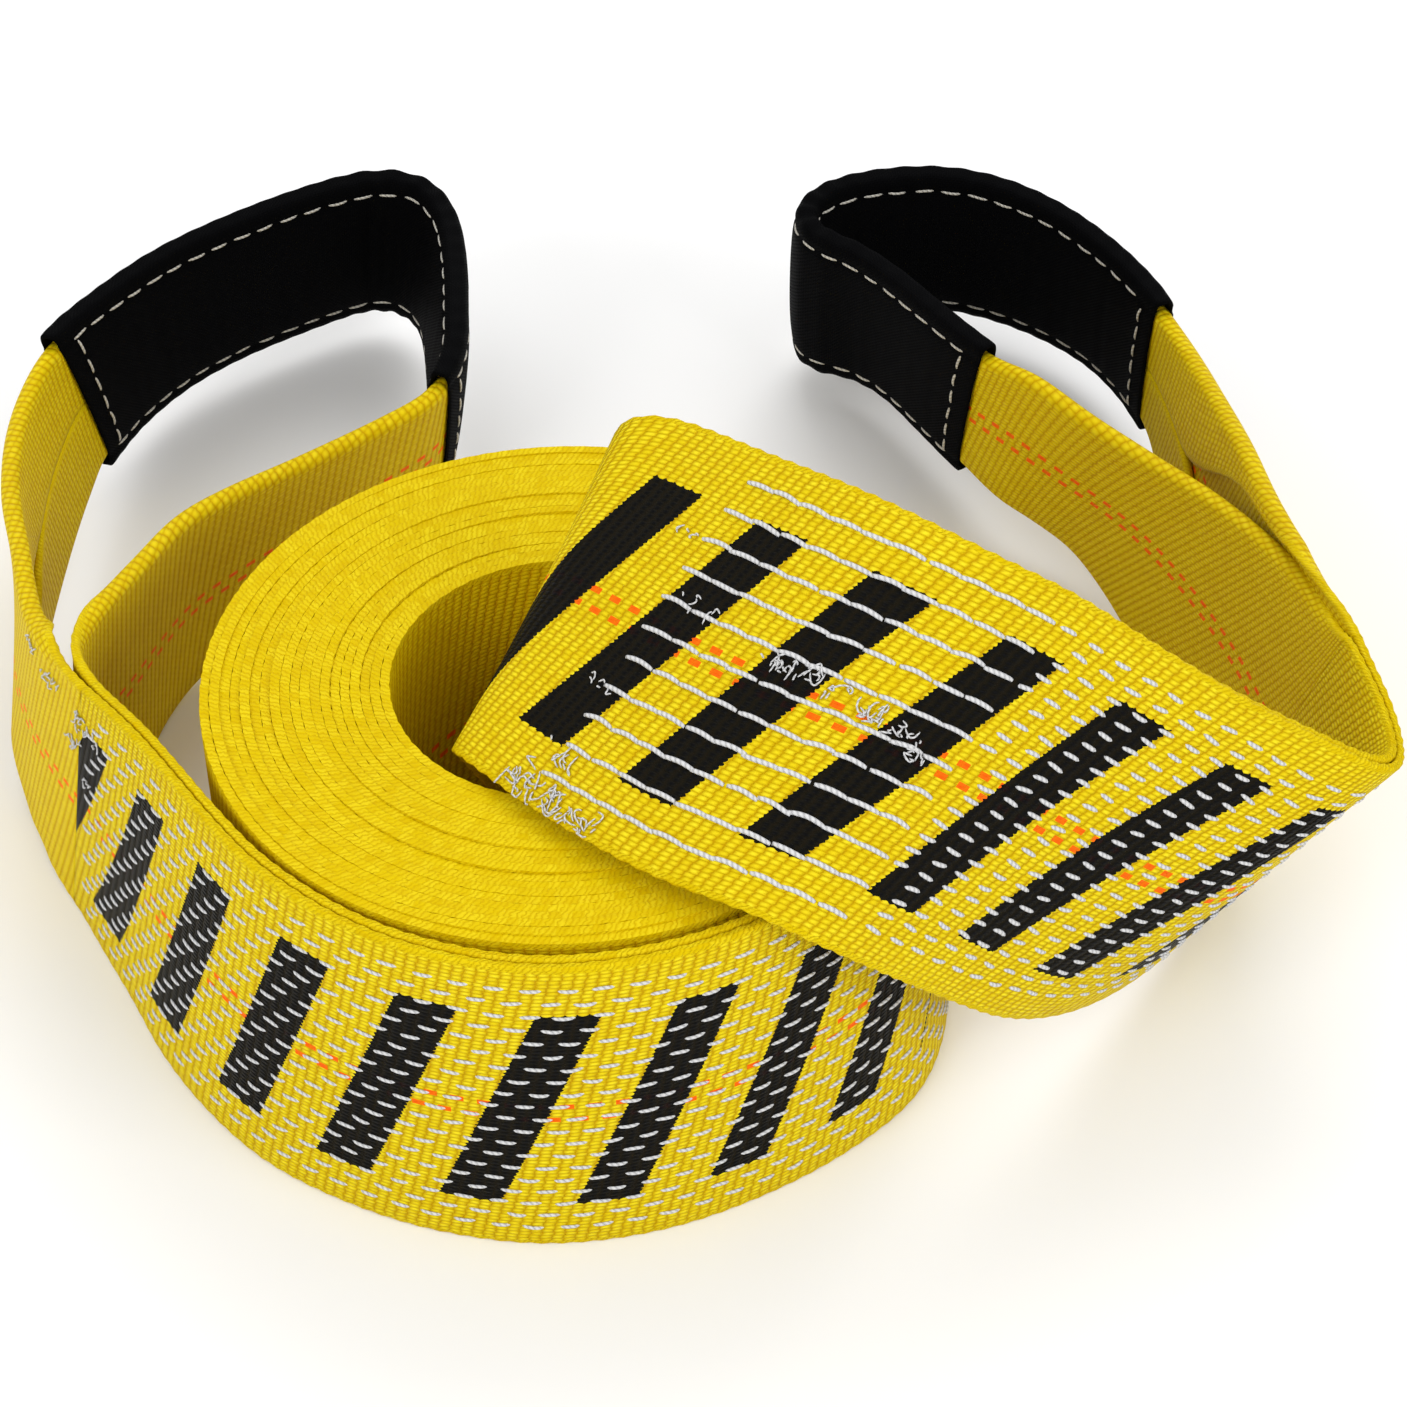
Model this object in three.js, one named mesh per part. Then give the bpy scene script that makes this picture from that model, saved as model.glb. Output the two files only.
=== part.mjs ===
// Tow strap: one long flat webbing rolled up on its edge, with a sewn eye at each end.
// Millimetres, +Z up, the roll and the eyes standing on the floor at Z = 0.
// The webbing is one continuous piece; it is cut here into stretches that follow its bends.
import * as THREE from 'three';

// Webbing
const webWidth = 76;
const plyThickness = 1.9;
const spliceGap = 0.1;
const foldGap = 0.3;
const jointGap = 0.45;
const floorClearance = 0.3;

// Roll: its turns lie a little tighter than the loose webbing is thick
const rollX = -1.5;
const rollY = -0.6;
const rollBoreRadius = 31.5;
const rollTurns = 19;
const turnSqueeze = 0.03;
const rollOuterRadius = rollBoreRadius + rollTurns * (plyThickness - turnSqueeze);
const grooveHalfWidth = 0.45;
const grooveDepth = 0.7;
const rollSegments = 44;

// Turn between neighbouring steps along the webbing, radians
const wrapTurnStep = 0.13;
const eyeTurnStep = 0.2;

// How far each eye reaches past the end of its splice
const leftEyeReach = 190;
const rightEyeReach = 174;

// In the eyes the webbing is folded lengthwise in two; the sleeve goes round the fold
const foldedWidth = webWidth / 2;
const foldedThickness = 2 * plyThickness + foldGap;
const sleeveSideEase = 0.7;
const sleeveFaceEase = 0.6;
const sleeveSeam = 3.2;
const sleeveWall = 1.05;
const sleeveHollowWidth = foldedWidth + 2 * sleeveSideEase;
const sleeveHollowThickness = foldedThickness + 2 * sleeveFaceEase;
const sleeveWidth = sleeveHollowWidth + 2 * sleeveSeam;
const sleeveThickness = sleeveHollowThickness + 2 * sleeveWall;

// Colours taken from the picture
const webMaterial = new THREE.MeshStandardMaterial({
  name: 'webbing',
  color: 0xdbc908,
  roughness: 0.75,
  metalness: 0,
});
const sleeveMaterial = new THREE.MeshStandardMaterial({
  name: 'sleeve_fabric',
  color: 0x0e0f12,
  roughness: 0.9,
  metalness: 0,
});

// Places on plan, by the angle round the roll's axis
function rollPoint(angle, radius) {
  const a = angle * Math.PI / 180;
  return [rollX + radius * Math.cos(a), rollY + radius * Math.sin(a)];
}

// Inside the bore, at a share of its radius
function inBore(angle, share) {
  return rollPoint(angle, rollBoreRadius * share);
}

// Above the roll, at a share of the way from the bore to the rim
function onRoll(angle, share) {
  return rollPoint(angle, rollBoreRadius + share * (rollOuterRadius - rollBoreRadius));
}

// Against the roll's outside, so many plies away from it
function outside(angle, plies) {
  return rollPoint(angle, rollOuterRadius + plies * plyThickness);
}

// Clear of the roll, at a share of the webbing's width from it
function beyond(angle, share) {
  return rollPoint(angle, rollOuterRadius + share * webWidth);
}

// Each row is the lower edge's x and y, its height, the way across to the upper edge
// as x, y and z, and the number of plies; heights and ways across are in webbing widths.
function laid(rows, plyGap) {
  return rows.map(([x, y, z, acrossX, acrossY, acrossZ, plies]) => [
    x,
    y,
    z * webWidth,
    x + acrossX * webWidth,
    y + acrossY * webWidth,
    (z + acrossZ) * webWidth,
    plies * plyThickness + (plies - 1) * plyGap,
  ]);
}

// An eye's rows start at the end of its splice, with x and y in shares of its reach
function eyeRows(splice, reach, rows) {
  const [startX, startY] = splice[splice.length - 1];
  return laid(rows.map(([x, y, ...rest]) => [startX + x * reach, startY + y * reach, ...rest]), foldGap);
}

// Outer run: leaves the roll at the back right, goes round the front, then off to the left
const outerRunRows = laid([
  [...outside(64, 0.46), 0, 0, 0, 1, 0.45],
  [...outside(52, 0.67), 0, 0, 0, 1, 0.75],
  [...outside(40, 0.93), 0, -0.001, -0.001, 1, 1],
  [...outside(27, 1.35), 0, -0.005, -0.002, 1, 1],
  [...outside(14, 1.98), 0, -0.011, -0.003, 1, 1.05],
  [...outside(0, 3.04), 0, -0.026, 0, 1, 1.55],
  [...outside(-14, 3.98), 0, -0.04, 0.01, 1, 2],
  [...outside(-28, 4.41), 0, -0.04, 0.021, 1, 2],
  [...outside(-42, 2.98), 0, -0.017, 0.015, 1, 2],
  [...outside(-58, 1.83), 0, -0.001, 0.002, 1, 2],
  [...outside(-75, 1.77), 0, 0, -0.001, 1, 2],
  [...outside(-92, 2.19), 0, 0, 0.004, 1, 2],
  [...outside(-108, 2.56), 0, 0.007, 0.02, 1, 2],
  [...outside(-122, 3.35), 0, 0.024, 0.039, 1, 2],
  [...outside(-136.2, 4.83), 0, 0.049, 0.068, 1, 2],
  [...outside(-149.3, 6.19), 0, 0.086, 0.062, 1, 2],
  [...beyond(-161.4, 0.201), 0, 0.108, 0.037, 0.995, 2],
  [...beyond(-171.7, 0.254), 0, 0.12, -0.026, 0.991, 2],
  [...beyond(179.4, 0.343), 0, 0.145, -0.108, 0.984, 2],
  [...beyond(172.2, 0.447), 0, 0.168, -0.189, 0.97, 2],
], spliceGap);

// Left eye: up the outer leg, round inside the sleeve, back down the inner leg
const leftEyeRows = eyeRows(outerRunRows, leftEyeReach, [
  [-0.0074, -0.0016, 0, 0.168, -0.187, 0.97, 1],
  [-0.0442, 0.0626, 0.013, 0.184, -0.229, 0.934, 1.09],
  [-0.0726, 0.1311, 0.039, 0.168, -0.25, 0.868, 1.27],
  [-0.101, 0.2205, 0.079, 0.174, -0.276, 0.789, 1.5],
  [-0.0958, 0.3205, 0.118, 0.101, -0.289, 0.704, 1.73],
  [-0.0863, 0.4205, 0.151, 0.004, -0.263, 0.618, 2],
  [-0.0789, 0.5153, 0.164, -0.061, -0.211, 0.553, 2],
  [-0.071, 0.6021, 0.164, -0.086, -0.159, 0.513, 2],
  [-0.061, 0.6726, 0.167, -0.071, -0.103, 0.491, 2],
  [-0.0326, 0.7542, 0.161, -0.028, -0.1, 0.492, 2],
  [0.0169, 0.8321, 0.161, -0.005, -0.1, 0.492, 2],
  [0.0811, 0.8958, 0.161, 0.011, -0.1, 0.492, 2],
  [0.16, 0.9526, 0.161, 0.021, -0.097, 0.491, 2],
  [0.2263, 0.9921, 0.162, 0.042, -0.097, 0.488, 2],
  [0.2669, 0.9947, 0.162, 0.063, -0.095, 0.487, 2],
  [0.3011, 0.9689, 0.163, 0.072, -0.095, 0.486, 2],
  [0.3232, 0.9174, 0.164, 0.08, -0.111, 0.483, 2],
  [0.3347, 0.8363, 0.166, 0.082, -0.111, 0.479, 2],
  [0.3421, 0.7521, 0.166, 0.079, -0.105, 0.479, 2],
  [0.3484, 0.6679, 0.166, 0.07, -0.111, 0.482, 2],
  [0.3358, 0.5942, 0.163, 0.053, -0.111, 0.492, 2],
  [0.2895, 0.5416, 0.151, 0.045, -0.126, 0.52, 1.95],
  [0.2032, 0.4563, 0.105, 0.047, -0.163, 0.621, 1.77],
  [0.1253, 0.3858, 0.053, 0.084, -0.175, 0.724, 1.59],
  [0.0811, 0.3363, 0.026, 0.083, -0.218, 0.793, 1.41],
  [0.0537, 0.2784, 0.011, 0.079, -0.268, 0.841, 1.27],
  [0.0369, 0.2153, 0.004, 0.076, -0.289, 0.889, 1.14],
  [0.0205, 0.1468, 0.001, 0.091, -0.282, 0.934, 1.05],
  [0.0105, 0.0784, 0, 0.114, -0.239, 0.964, 1],
  [0.0084, 0.0058, 0, 0.161, -0.184, 0.97, 1],
]);
const leftSleeveFrom = 8;
const leftSleeveTo = 19.8;

// Inner run: out of the bore, over the rim of the roll, down to the floor and round the corner
const innerRunRows = laid([
  [...inBore(-28.1, 0.905), 0.004, 0, 0, 0.996, 1],
  [...inBore(5.2, 0.908), 0.004, 0, 0, 0.996, 1],
  [...inBore(35.5, 0.94), 0.011, 0, 0, 0.996, 1],
  [...inBore(66.2, 0.873), 0.066, 0.053, 0.021, 0.993, 1],
  [...inBore(97.4, 0.616), 0.211, 0.168, 0.103, 0.974, 1],
  [...inBore(154, 0.406), 0.461, 0.276, 0.266, 0.882, 1],
  [...inBore(-157.6, 0.565), 0.75, 0.35, 0.421, 0.718, 1],
  [...inBore(-139.8, 0.787), 0.941, 0.432, 0.542, 0.604, 1],
  [...inBore(-129.7, 0.898), 1.013, 0.532, 0.576, 0.553, 1],
  [...onRoll(-94.7, 0.17), 1.032, 0.561, 0.579, 0.587, 1.25],
  [...onRoll(-73.7, 0.669), 1.047, 0.545, 0.608, 0.597, 1.75],
  [...outside(-61.4, 2.62), 1.047, 0.561, 0.618, 0.529, 2],
  [...beyond(-54.2, 0.173), 0.963, 0.574, 0.629, 0.513, 2],
  [...beyond(-45.8, 0.226), 0.803, 0.611, 0.558, 0.532, 2],
  [...beyond(-37.3, 0.268), 0.618, 0.692, 0.447, 0.558, 2],
  [...beyond(-28.9, 0.331), 0.432, 0.755, 0.339, 0.605, 2],
  [...beyond(-19.9, 0.404), 0.271, 0.739, 0.179, 0.697, 2],
  [...beyond(-11.1, 0.509), 0.153, 0.645, 0.045, 0.784, 2],
  [...beyond(-3, 0.64), 0.074, 0.508, -0.058, 0.853, 2],
  [...beyond(3.5, 0.769), 0.034, 0.364, -0.126, 0.913, 2],
  [...beyond(8.6, 0.876), 0.013, 0.242, -0.184, 0.958, 2],
  [...beyond(12.1, 0.939), 0.008, 0.179, -0.221, 0.974, 2],
], spliceGap);

// Right eye: up the near leg, round inside the sleeve, back down the far leg
const rightEyeRows = eyeRows(innerRunRows, rightEyeReach, [
  [-0.0069, 0, 0.008, 0.179, -0.221, 0.974, 1],
  [-0.0207, 0.0897, 0.011, 0.197, -0.342, 0.934, 1],
  [-0.0413, 0.1931, 0.029, 0.208, -0.387, 0.876, 1.14],
  [-0.0747, 0.3023, 0.058, 0.218, -0.395, 0.787, 1.36],
  [-0.1103, 0.4023, 0.095, 0.187, -0.35, 0.679, 1.59],
  [-0.1494, 0.4782, 0.129, 0.145, -0.297, 0.587, 1.82],
  [-0.1954, 0.5241, 0.153, 0.092, -0.197, 0.547, 2],
  [-0.2402, 0.5621, 0.168, 0.053, -0.097, 0.529, 2],
  [-0.2827, 0.6368, 0.168, 0.029, -0.128, 0.492, 2],
  [-0.331, 0.7207, 0.168, 0.008, -0.138, 0.489, 2],
  [-0.377, 0.796, 0.168, -0.005, -0.137, 0.489, 2],
  [-0.4253, 0.8414, 0.168, -0.011, -0.113, 0.489, 2],
  [-0.4684, 0.8569, 0.168, -0.008, -0.086, 0.489, 2],
  [-0.489, 0.8839, 0.168, -0.005, -0.076, 0.489, 2],
  [-0.4867, 0.931, 0.168, -0.003, -0.092, 0.489, 2],
  [-0.4574, 0.969, 0.168, 0, -0.095, 0.489, 2],
  [-0.3931, 0.9954, 0.168, 0, -0.095, 0.489, 2],
  [-0.3092, 1.0023, 0.168, 0, -0.095, 0.489, 2],
  [-0.2287, 0.9764, 0.168, -0.005, -0.095, 0.489, 2],
  [-0.1551, 0.9276, 0.168, -0.013, -0.108, 0.489, 2],
  [-0.0942, 0.8621, 0.168, -0.021, -0.124, 0.489, 2],
  [-0.0517, 0.781, 0.168, -0.018, -0.124, 0.489, 2],
  [-0.0299, 0.6966, 0.166, -0.005, -0.113, 0.5, 2],
  [-0.0207, 0.6081, 0.145, 0.018, -0.126, 0.563, 1.86],
  [-0.0126, 0.5092, 0.103, 0.034, -0.15, 0.666, 1.68],
  [-0.0011, 0.4, 0.061, 0.045, -0.189, 0.774, 1.5],
  [0.0104, 0.2851, 0.032, 0.049, -0.224, 0.858, 1.32],
  [0.0161, 0.1816, 0.013, 0.082, -0.255, 0.921, 1.14],
  [0.015, 0.0839, 0.011, 0.129, -0.263, 0.955, 1],
  [0.0069, 0, 0.008, 0.179, -0.221, 0.974, 1],
]);
const rightSleeveFrom = 8;
const rightSleeveTo = 21.7;

// Smooth curve through the rows (uniform Catmull-Rom), sampled at row number s.
function rowAt(rows, s) {
  const last = rows.length - 1;
  const i = Math.min(Math.floor(s), last - 1);
  const f = s - i;
  const p = (k) => rows[Math.max(0, Math.min(last, k))];
  const a = i > 0 ? p(i - 1) : p(0).map((v, k) => 2 * v - p(1)[k]);
  const b = p(i);
  const c = p(i + 1);
  const d = i + 2 <= last ? p(i + 2) : c.map((v, k) => 2 * v - b[k]);
  return b.map((v, k) => 0.5 * (
    2 * v
    + (c[k] - a[k]) * f
    + (2 * a[k] - 5 * b[k] + 4 * c[k] - d[k]) * f * f
    + (3 * b[k] - a[k] - 3 * c[k] + d[k]) * f * f * f
  ));
}

// Frame of the strip at row number s: centre, across direction, face direction, half width.
function frameAt(rows, s) {
  const last = rows.length - 1;
  const r = rowAt(rows, s);
  const h = 0.02;
  const r0 = rowAt(rows, Math.max(0, s - h));
  const r1 = rowAt(rows, Math.min(last, s + h));
  const bottom = new THREE.Vector3(r[0], r[1], r[2]);
  const top = new THREE.Vector3(r[3], r[4], r[5]);
  const mid = (q) => new THREE.Vector3((q[0] + q[3]) / 2, (q[1] + q[4]) / 2, (q[2] + q[5]) / 2);
  const centre = bottom.clone().add(top).multiplyScalar(0.5);
  const along = mid(r1).sub(mid(r0)).normalize();
  const across = top.clone().sub(bottom);
  const halfWidth = across.length() / 2;
  across.normalize();
  const face = new THREE.Vector3().crossVectors(along, across).normalize();
  return { centre, along, across, face, halfWidth, thickness: r[6] };
}

// Flat section with rounded edges: pairs (across, face) round the outline.
function stripOutline(halfWidth, halfThickness) {
  const rounding = Math.min(halfThickness, halfWidth);
  const k = halfWidth - rounding * 0.45;
  const m = halfThickness * 0.5;
  return [
    [-k, -halfThickness],
    [0, -halfThickness],
    [k, -halfThickness],
    [halfWidth, -m],
    [halfWidth, m],
    [k, halfThickness],
    [0, halfThickness],
    [-k, halfThickness],
    [-halfWidth, m],
    [-halfWidth, -m],
  ];
}

// Steps along the rows: more of them where the strip turns hard.
function samples(rows, from, to, turnStep) {
  const fine = 12;
  const list = [from];
  let lastDirection = frameAt(rows, from).along;
  let lastAcross = frameAt(rows, from).across;
  let lastCentre = frameAt(rows, from).centre;
  const count = Math.round((to - from) * fine);
  for (let i = 1; i < count; i += 1) {
    const s = from + (to - from) * i / count;
    const f = frameAt(rows, s);
    const turn = f.along.angleTo(lastDirection) + f.across.angleTo(lastAcross);
    const run = f.centre.distanceTo(lastCentre);
    if (turn > turnStep || run > 22) {
      list.push(s);
      lastDirection = f.along;
      lastAcross = f.across;
      lastCentre = f.centre;
    }
  }
  list.push(to);
  return list;
}

function closedMesh(name, positions, faces, material) {
  const geometry = new THREE.BufferGeometry();
  geometry.setAttribute('position', new THREE.Float32BufferAttribute(positions, 3));
  geometry.setIndex(faces);
  geometry.computeVertexNormals();
  const mesh = new THREE.Mesh(geometry, material);
  mesh.name = name;
  return mesh;
}

function ringPoints(frame, outline) {
  return outline.map(([u, n]) => frame.centre.clone()
    .addScaledVector(frame.across, u)
    .addScaledVector(frame.face, n));
}

function signedVolume(positions, faces) {
  let volume = 0;
  for (let i = 0; i < faces.length; i += 3) {
    const p = [0, 1, 2].map((k) => new THREE.Vector3().fromArray(positions, faces[i + k] * 3));
    volume += p[0].dot(p[1].cross(p[2])) / 6;
  }
  return volume;
}

function outwards(positions, faces) {
  if (signedVolume(positions, faces) > 0) {
    return faces;
  }
  const turned = [];
  for (let i = 0; i < faces.length; i += 3) {
    turned.push(faces[i], faces[i + 2], faces[i + 1]);
  }
  return turned;
}

// An eye's steps with the sleeve's two ends among them, so that sleeve and webbing bend alike
function eyeSteps(rows, sleeveFrom, sleeveTo) {
  const ends = [sleeveFrom, sleeveTo];
  const between = samples(rows, 0, rows.length - 1, eyeTurnStep)
    .filter((s) => ends.every((end) => Math.abs(s - end) > 0.04));
  return between.concat(ends).sort((a, b) => a - b);
}

// A solid strip of webbing through the rows.
function strip(name, rows, list, material) {
  const positions = [];
  const faces = [];
  let n = 0;
  list.forEach((s) => {
    const frame = frameAt(rows, s);
    const outline = stripOutline(frame.halfWidth, frame.thickness / 2);
    n = outline.length;
    ringPoints(frame, outline).forEach((p) => positions.push(p.x, p.y, p.z));
  });
  for (let i = 0; i + 1 < list.length; i += 1) {
    for (let j = 0; j < n; j += 1) {
      const a = i * n + j;
      const b = i * n + (j + 1) % n;
      faces.push(a, b, b + n, a, b + n, a + n);
    }
  }
  const end = (list.length - 1) * n;
  const cap = [[0, 1, 9], [1, 8, 9], [1, 7, 8], [1, 6, 7], [1, 2, 6], [2, 5, 6], [2, 3, 5], [3, 4, 5]];
  cap.forEach(([a, b, c]) => {
    faces.push(c, b, a);
    faces.push(end + a, end + b, end + c);
  });
  return closedMesh(name, positions, outwards(positions, faces), material);
}

// A flattened open tube round the folded webbing, with real wall thickness.
function sleeve(name, rows, list, material) {
  const positions = [];
  const faces = [];
  const outer = stripOutline(sleeveWidth / 2, sleeveThickness / 2);
  const inner = stripOutline(sleeveHollowWidth / 2, sleeveHollowThickness / 2);
  const n = outer.length;
  list.forEach((s) => {
    const frame = frameAt(rows, s);
    ringPoints(frame, outer).forEach((p) => positions.push(p.x, p.y, p.z));
    ringPoints(frame, inner).forEach((p) => positions.push(p.x, p.y, p.z));
  });
  const stride = 2 * n;
  for (let i = 0; i + 1 < list.length; i += 1) {
    for (let j = 0; j < n; j += 1) {
      const a = i * stride + j;
      const b = i * stride + (j + 1) % n;
      faces.push(a, b, b + stride, a, b + stride, a + stride);
      faces.push(a + n, b + n + stride, b + n, a + n, a + n + stride, b + n + stride);
    }
  }
  const end = (list.length - 1) * stride;
  for (let j = 0; j < n; j += 1) {
    const k = (j + 1) % n;
    faces.push(j, n + k, k, j, n + j, n + k);
    faces.push(end + j, end + k, end + n + k, end + j, end + n + k, end + n + j);
  }
  return closedMesh(name, positions, outwards(positions, faces), material);
}

// The roll: one turned ring with its bore; grooves on both ends mark every second turn.
function roll(name, material) {
  const pitch = 2 * (rollOuterRadius - rollBoreRadius) / rollTurns;
  const grooves = [];
  for (let r = rollBoreRadius + pitch; r < rollOuterRadius - 1.5; r += pitch) {
    grooves.push(r);
  }
  const profile = [];
  const endRow = (z, inward, radii) => {
    radii.forEach((r) => {
      profile.push([r - grooveHalfWidth, z]);
      profile.push([r, z + inward * grooveDepth]);
      profile.push([r + grooveHalfWidth, z]);
    });
  };
  profile.push([rollBoreRadius, 0]);
  endRow(0, 1, grooves);
  profile.push([rollOuterRadius, 0]);
  profile.push([rollOuterRadius, webWidth]);
  const back = grooves.slice().reverse();
  back.forEach((r) => {
    profile.push([r + grooveHalfWidth, webWidth]);
    profile.push([r, webWidth - grooveDepth]);
    profile.push([r - grooveHalfWidth, webWidth]);
  });
  profile.push([rollBoreRadius, webWidth]);
  const n = profile.length;
  const positions = [];
  const faces = [];
  for (let i = 0; i < rollSegments; i += 1) {
    const a = 2 * Math.PI * i / rollSegments;
    profile.forEach(([r, z]) => positions.push(rollX + r * Math.cos(a), rollY + r * Math.sin(a), z));
  }
  for (let i = 0; i < rollSegments; i += 1) {
    const i2 = (i + 1) % rollSegments;
    for (let j = 0; j < n; j += 1) {
      const j2 = (j + 1) % n;
      const a = i * n + j;
      const b = i * n + j2;
      const c = i2 * n + j2;
      const d = i2 * n + j;
      faces.push(a, b, c, a, c, d);
    }
  }
  return closedMesh(name, positions, outwards(positions, faces), material);
}

// Rows raised so that the leaning lower edge stays just clear of the floor.
function lifted(rows) {
  return rows.map((r) => r.map((v, k) => (k === 2 || k === 5 ? v + floorClearance : v)));
}

// Rows moved a little along the strip at both ends, so neighbouring stretches keep a gap.
function shortened(rows, startGap, endGap) {
  const copy = rows.map((r) => r.slice());
  const cut = (row, next, gap) => {
    const length = Math.hypot(next[0] - row[0], next[1] - row[1], next[2] - row[2]);
    const f = gap / length;
    return row.map((v, k) => (k < 6 ? v + (next[k] - v) * f : v));
  };
  copy[0] = cut(rows[0], rows[1], startGap);
  copy[copy.length - 1] = cut(rows[rows.length - 1], rows[rows.length - 2], endGap);
  return lifted(copy);
}

const strap = new THREE.Group();
strap.name = 'tow_strap';
strap.add(roll('webbing_roll', webMaterial));

const outerRun = shortened(outerRunRows, 0, jointGap);
const outerSteps = samples(outerRun, 0, outerRun.length - 1, wrapTurnStep);
strap.add(strip('webbing_outer_run', outerRun, outerSteps, webMaterial));

const leftEye = shortened(leftEyeRows, jointGap, jointGap);
const leftSteps = eyeSteps(leftEye, leftSleeveFrom, leftSleeveTo);
const leftCovered = leftSteps.filter((s) => s >= leftSleeveFrom && s <= leftSleeveTo);
strap.add(strip('webbing_left_eye', leftEye, leftSteps, webMaterial));
strap.add(sleeve('sleeve_left', leftEye, leftCovered, sleeveMaterial));

const innerRun = shortened(innerRunRows, 0, jointGap);
const innerSteps = samples(innerRun, 0, innerRun.length - 1, eyeTurnStep);
strap.add(strip('webbing_inner_run', innerRun, innerSteps, webMaterial));

const rightEye = shortened(rightEyeRows, jointGap, jointGap);
const rightSteps = eyeSteps(rightEye, rightSleeveFrom, rightSleeveTo);
const rightCovered = rightSteps.filter((s) => s >= rightSleeveFrom && s <= rightSleeveTo);
strap.add(strip('webbing_right_eye', rightEye, rightSteps, webMaterial));
strap.add(sleeve('sleeve_right', rightEye, rightCovered, sleeveMaterial));

// The origin goes to the middle of the bounding box, on the floor.
const bounds = new THREE.Box3().setFromObject(strap);
const shiftX = -(bounds.min.x + bounds.max.x) / 2;
const shiftY = -(bounds.min.y + bounds.max.y) / 2;
strap.children.forEach((mesh) => mesh.geometry.translate(shiftX, shiftY, -bounds.min.z));

export default strap;
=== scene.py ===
import math

import bpy
import numpy as np
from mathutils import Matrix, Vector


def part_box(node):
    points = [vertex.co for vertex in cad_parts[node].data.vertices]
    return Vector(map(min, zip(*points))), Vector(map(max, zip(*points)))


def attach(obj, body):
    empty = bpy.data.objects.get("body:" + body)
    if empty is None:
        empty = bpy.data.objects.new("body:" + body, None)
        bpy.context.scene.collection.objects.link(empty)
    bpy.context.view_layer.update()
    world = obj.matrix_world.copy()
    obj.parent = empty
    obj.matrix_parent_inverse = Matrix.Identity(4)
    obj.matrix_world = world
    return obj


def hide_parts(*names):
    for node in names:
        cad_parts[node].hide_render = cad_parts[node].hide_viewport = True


# Tow strap: one flat webbing rolled on its edge, with a folded, sewn and sleeved eye at each end.
# Tables are in millimetres, measured from near the roll's axis; meshes are in metres.

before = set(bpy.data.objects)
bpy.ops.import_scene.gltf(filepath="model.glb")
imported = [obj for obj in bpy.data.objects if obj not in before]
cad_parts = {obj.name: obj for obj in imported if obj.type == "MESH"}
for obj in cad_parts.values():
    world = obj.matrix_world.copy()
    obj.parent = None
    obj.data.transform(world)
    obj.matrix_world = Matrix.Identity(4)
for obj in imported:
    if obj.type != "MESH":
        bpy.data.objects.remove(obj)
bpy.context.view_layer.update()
rollLow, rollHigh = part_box("webbing_roll")
rollAxis = np.array([-1.5, -0.6])
shift = np.array([
    (rollLow.x + rollHigh.x) * 500 - rollAxis[0],
    (rollLow.y + rollHigh.y) * 500 - rollAxis[1],
    0.0,
])
rng = np.random.default_rng(7)
print("frame loaded")

webbing = {
    "width": 76.0,
    "ply": 1.9,
    "rib": 2.1,
    "yarn": 0.95,
    "scallop": 3.8,
    "scallopDepth": 0.3,
    "step": 0.95,
    "selvedge": 0.8,
    "printedEdge": 1.2,
    "foldBend": 3.3,
    "foldFrom": 8.0,
    "foldTo": 40.0,
}


# Camera at the photograph's viewing angle, worked out from the roll and the eyes.

view = {
    "place": (24.7, -449.45, 498.0),
    "pitch": 46.3,
    "lens": 85,
}

cameraData = bpy.data.cameras.new("camera")
cameraData.lens = view["lens"]
cameraData.sensor_width = 36
cameraData.clip_start = 0.01
cameraData.clip_end = 50
camera = bpy.data.objects.new("camera", cameraData)
bpy.context.scene.collection.objects.link(camera)
camera.location = (np.array(view["place"]) + shift) * 0.001
camera.rotation_euler = (math.radians(view["pitch"]), 0, 0)
bpy.context.scene.camera = camera
bpy.context.scene.view_settings.view_transform = "Standard"


# Shader maths.

class Amount:
    # One socket of a shader; sums written on it add Math nodes.
    def __init__(self, shader, socket):
        self.shader = shader
        self.socket = socket

    def __add__(self, other):
        return self.shader.maths("ADD", self, other)

    def __sub__(self, other):
        return self.shader.maths("SUBTRACT", self, other)

    def __rsub__(self, other):
        return self.shader.maths("SUBTRACT", other, self)

    def __mul__(self, other):
        return self.shader.maths("MULTIPLY", self, other)

    def __truediv__(self, other):
        return self.shader.maths("DIVIDE", self, other)

    def __lt__(self, other):
        return self.shader.maths("LESS_THAN", self, other)

    def __gt__(self, other):
        return self.shader.maths("GREATER_THAN", self, other)

    __radd__ = __add__
    __rmul__ = __mul__

    def floor(self):
        return self.shader.maths("FLOOR", self)

    def fraction(self):
        return self.shader.maths("FRACT", self)

    def size(self):
        return self.shader.maths("ABSOLUTE", self)

    def wave(self):
        return self.shader.maths("SINE", self)

    def crown(self):
        # parabola over each whole step: 0 at the joints, 1 in the middle
        t = self.fraction()
        return 4 * t * (1 - t)

    def within(self, low, high):
        return (self > low) * (self < high)


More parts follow.
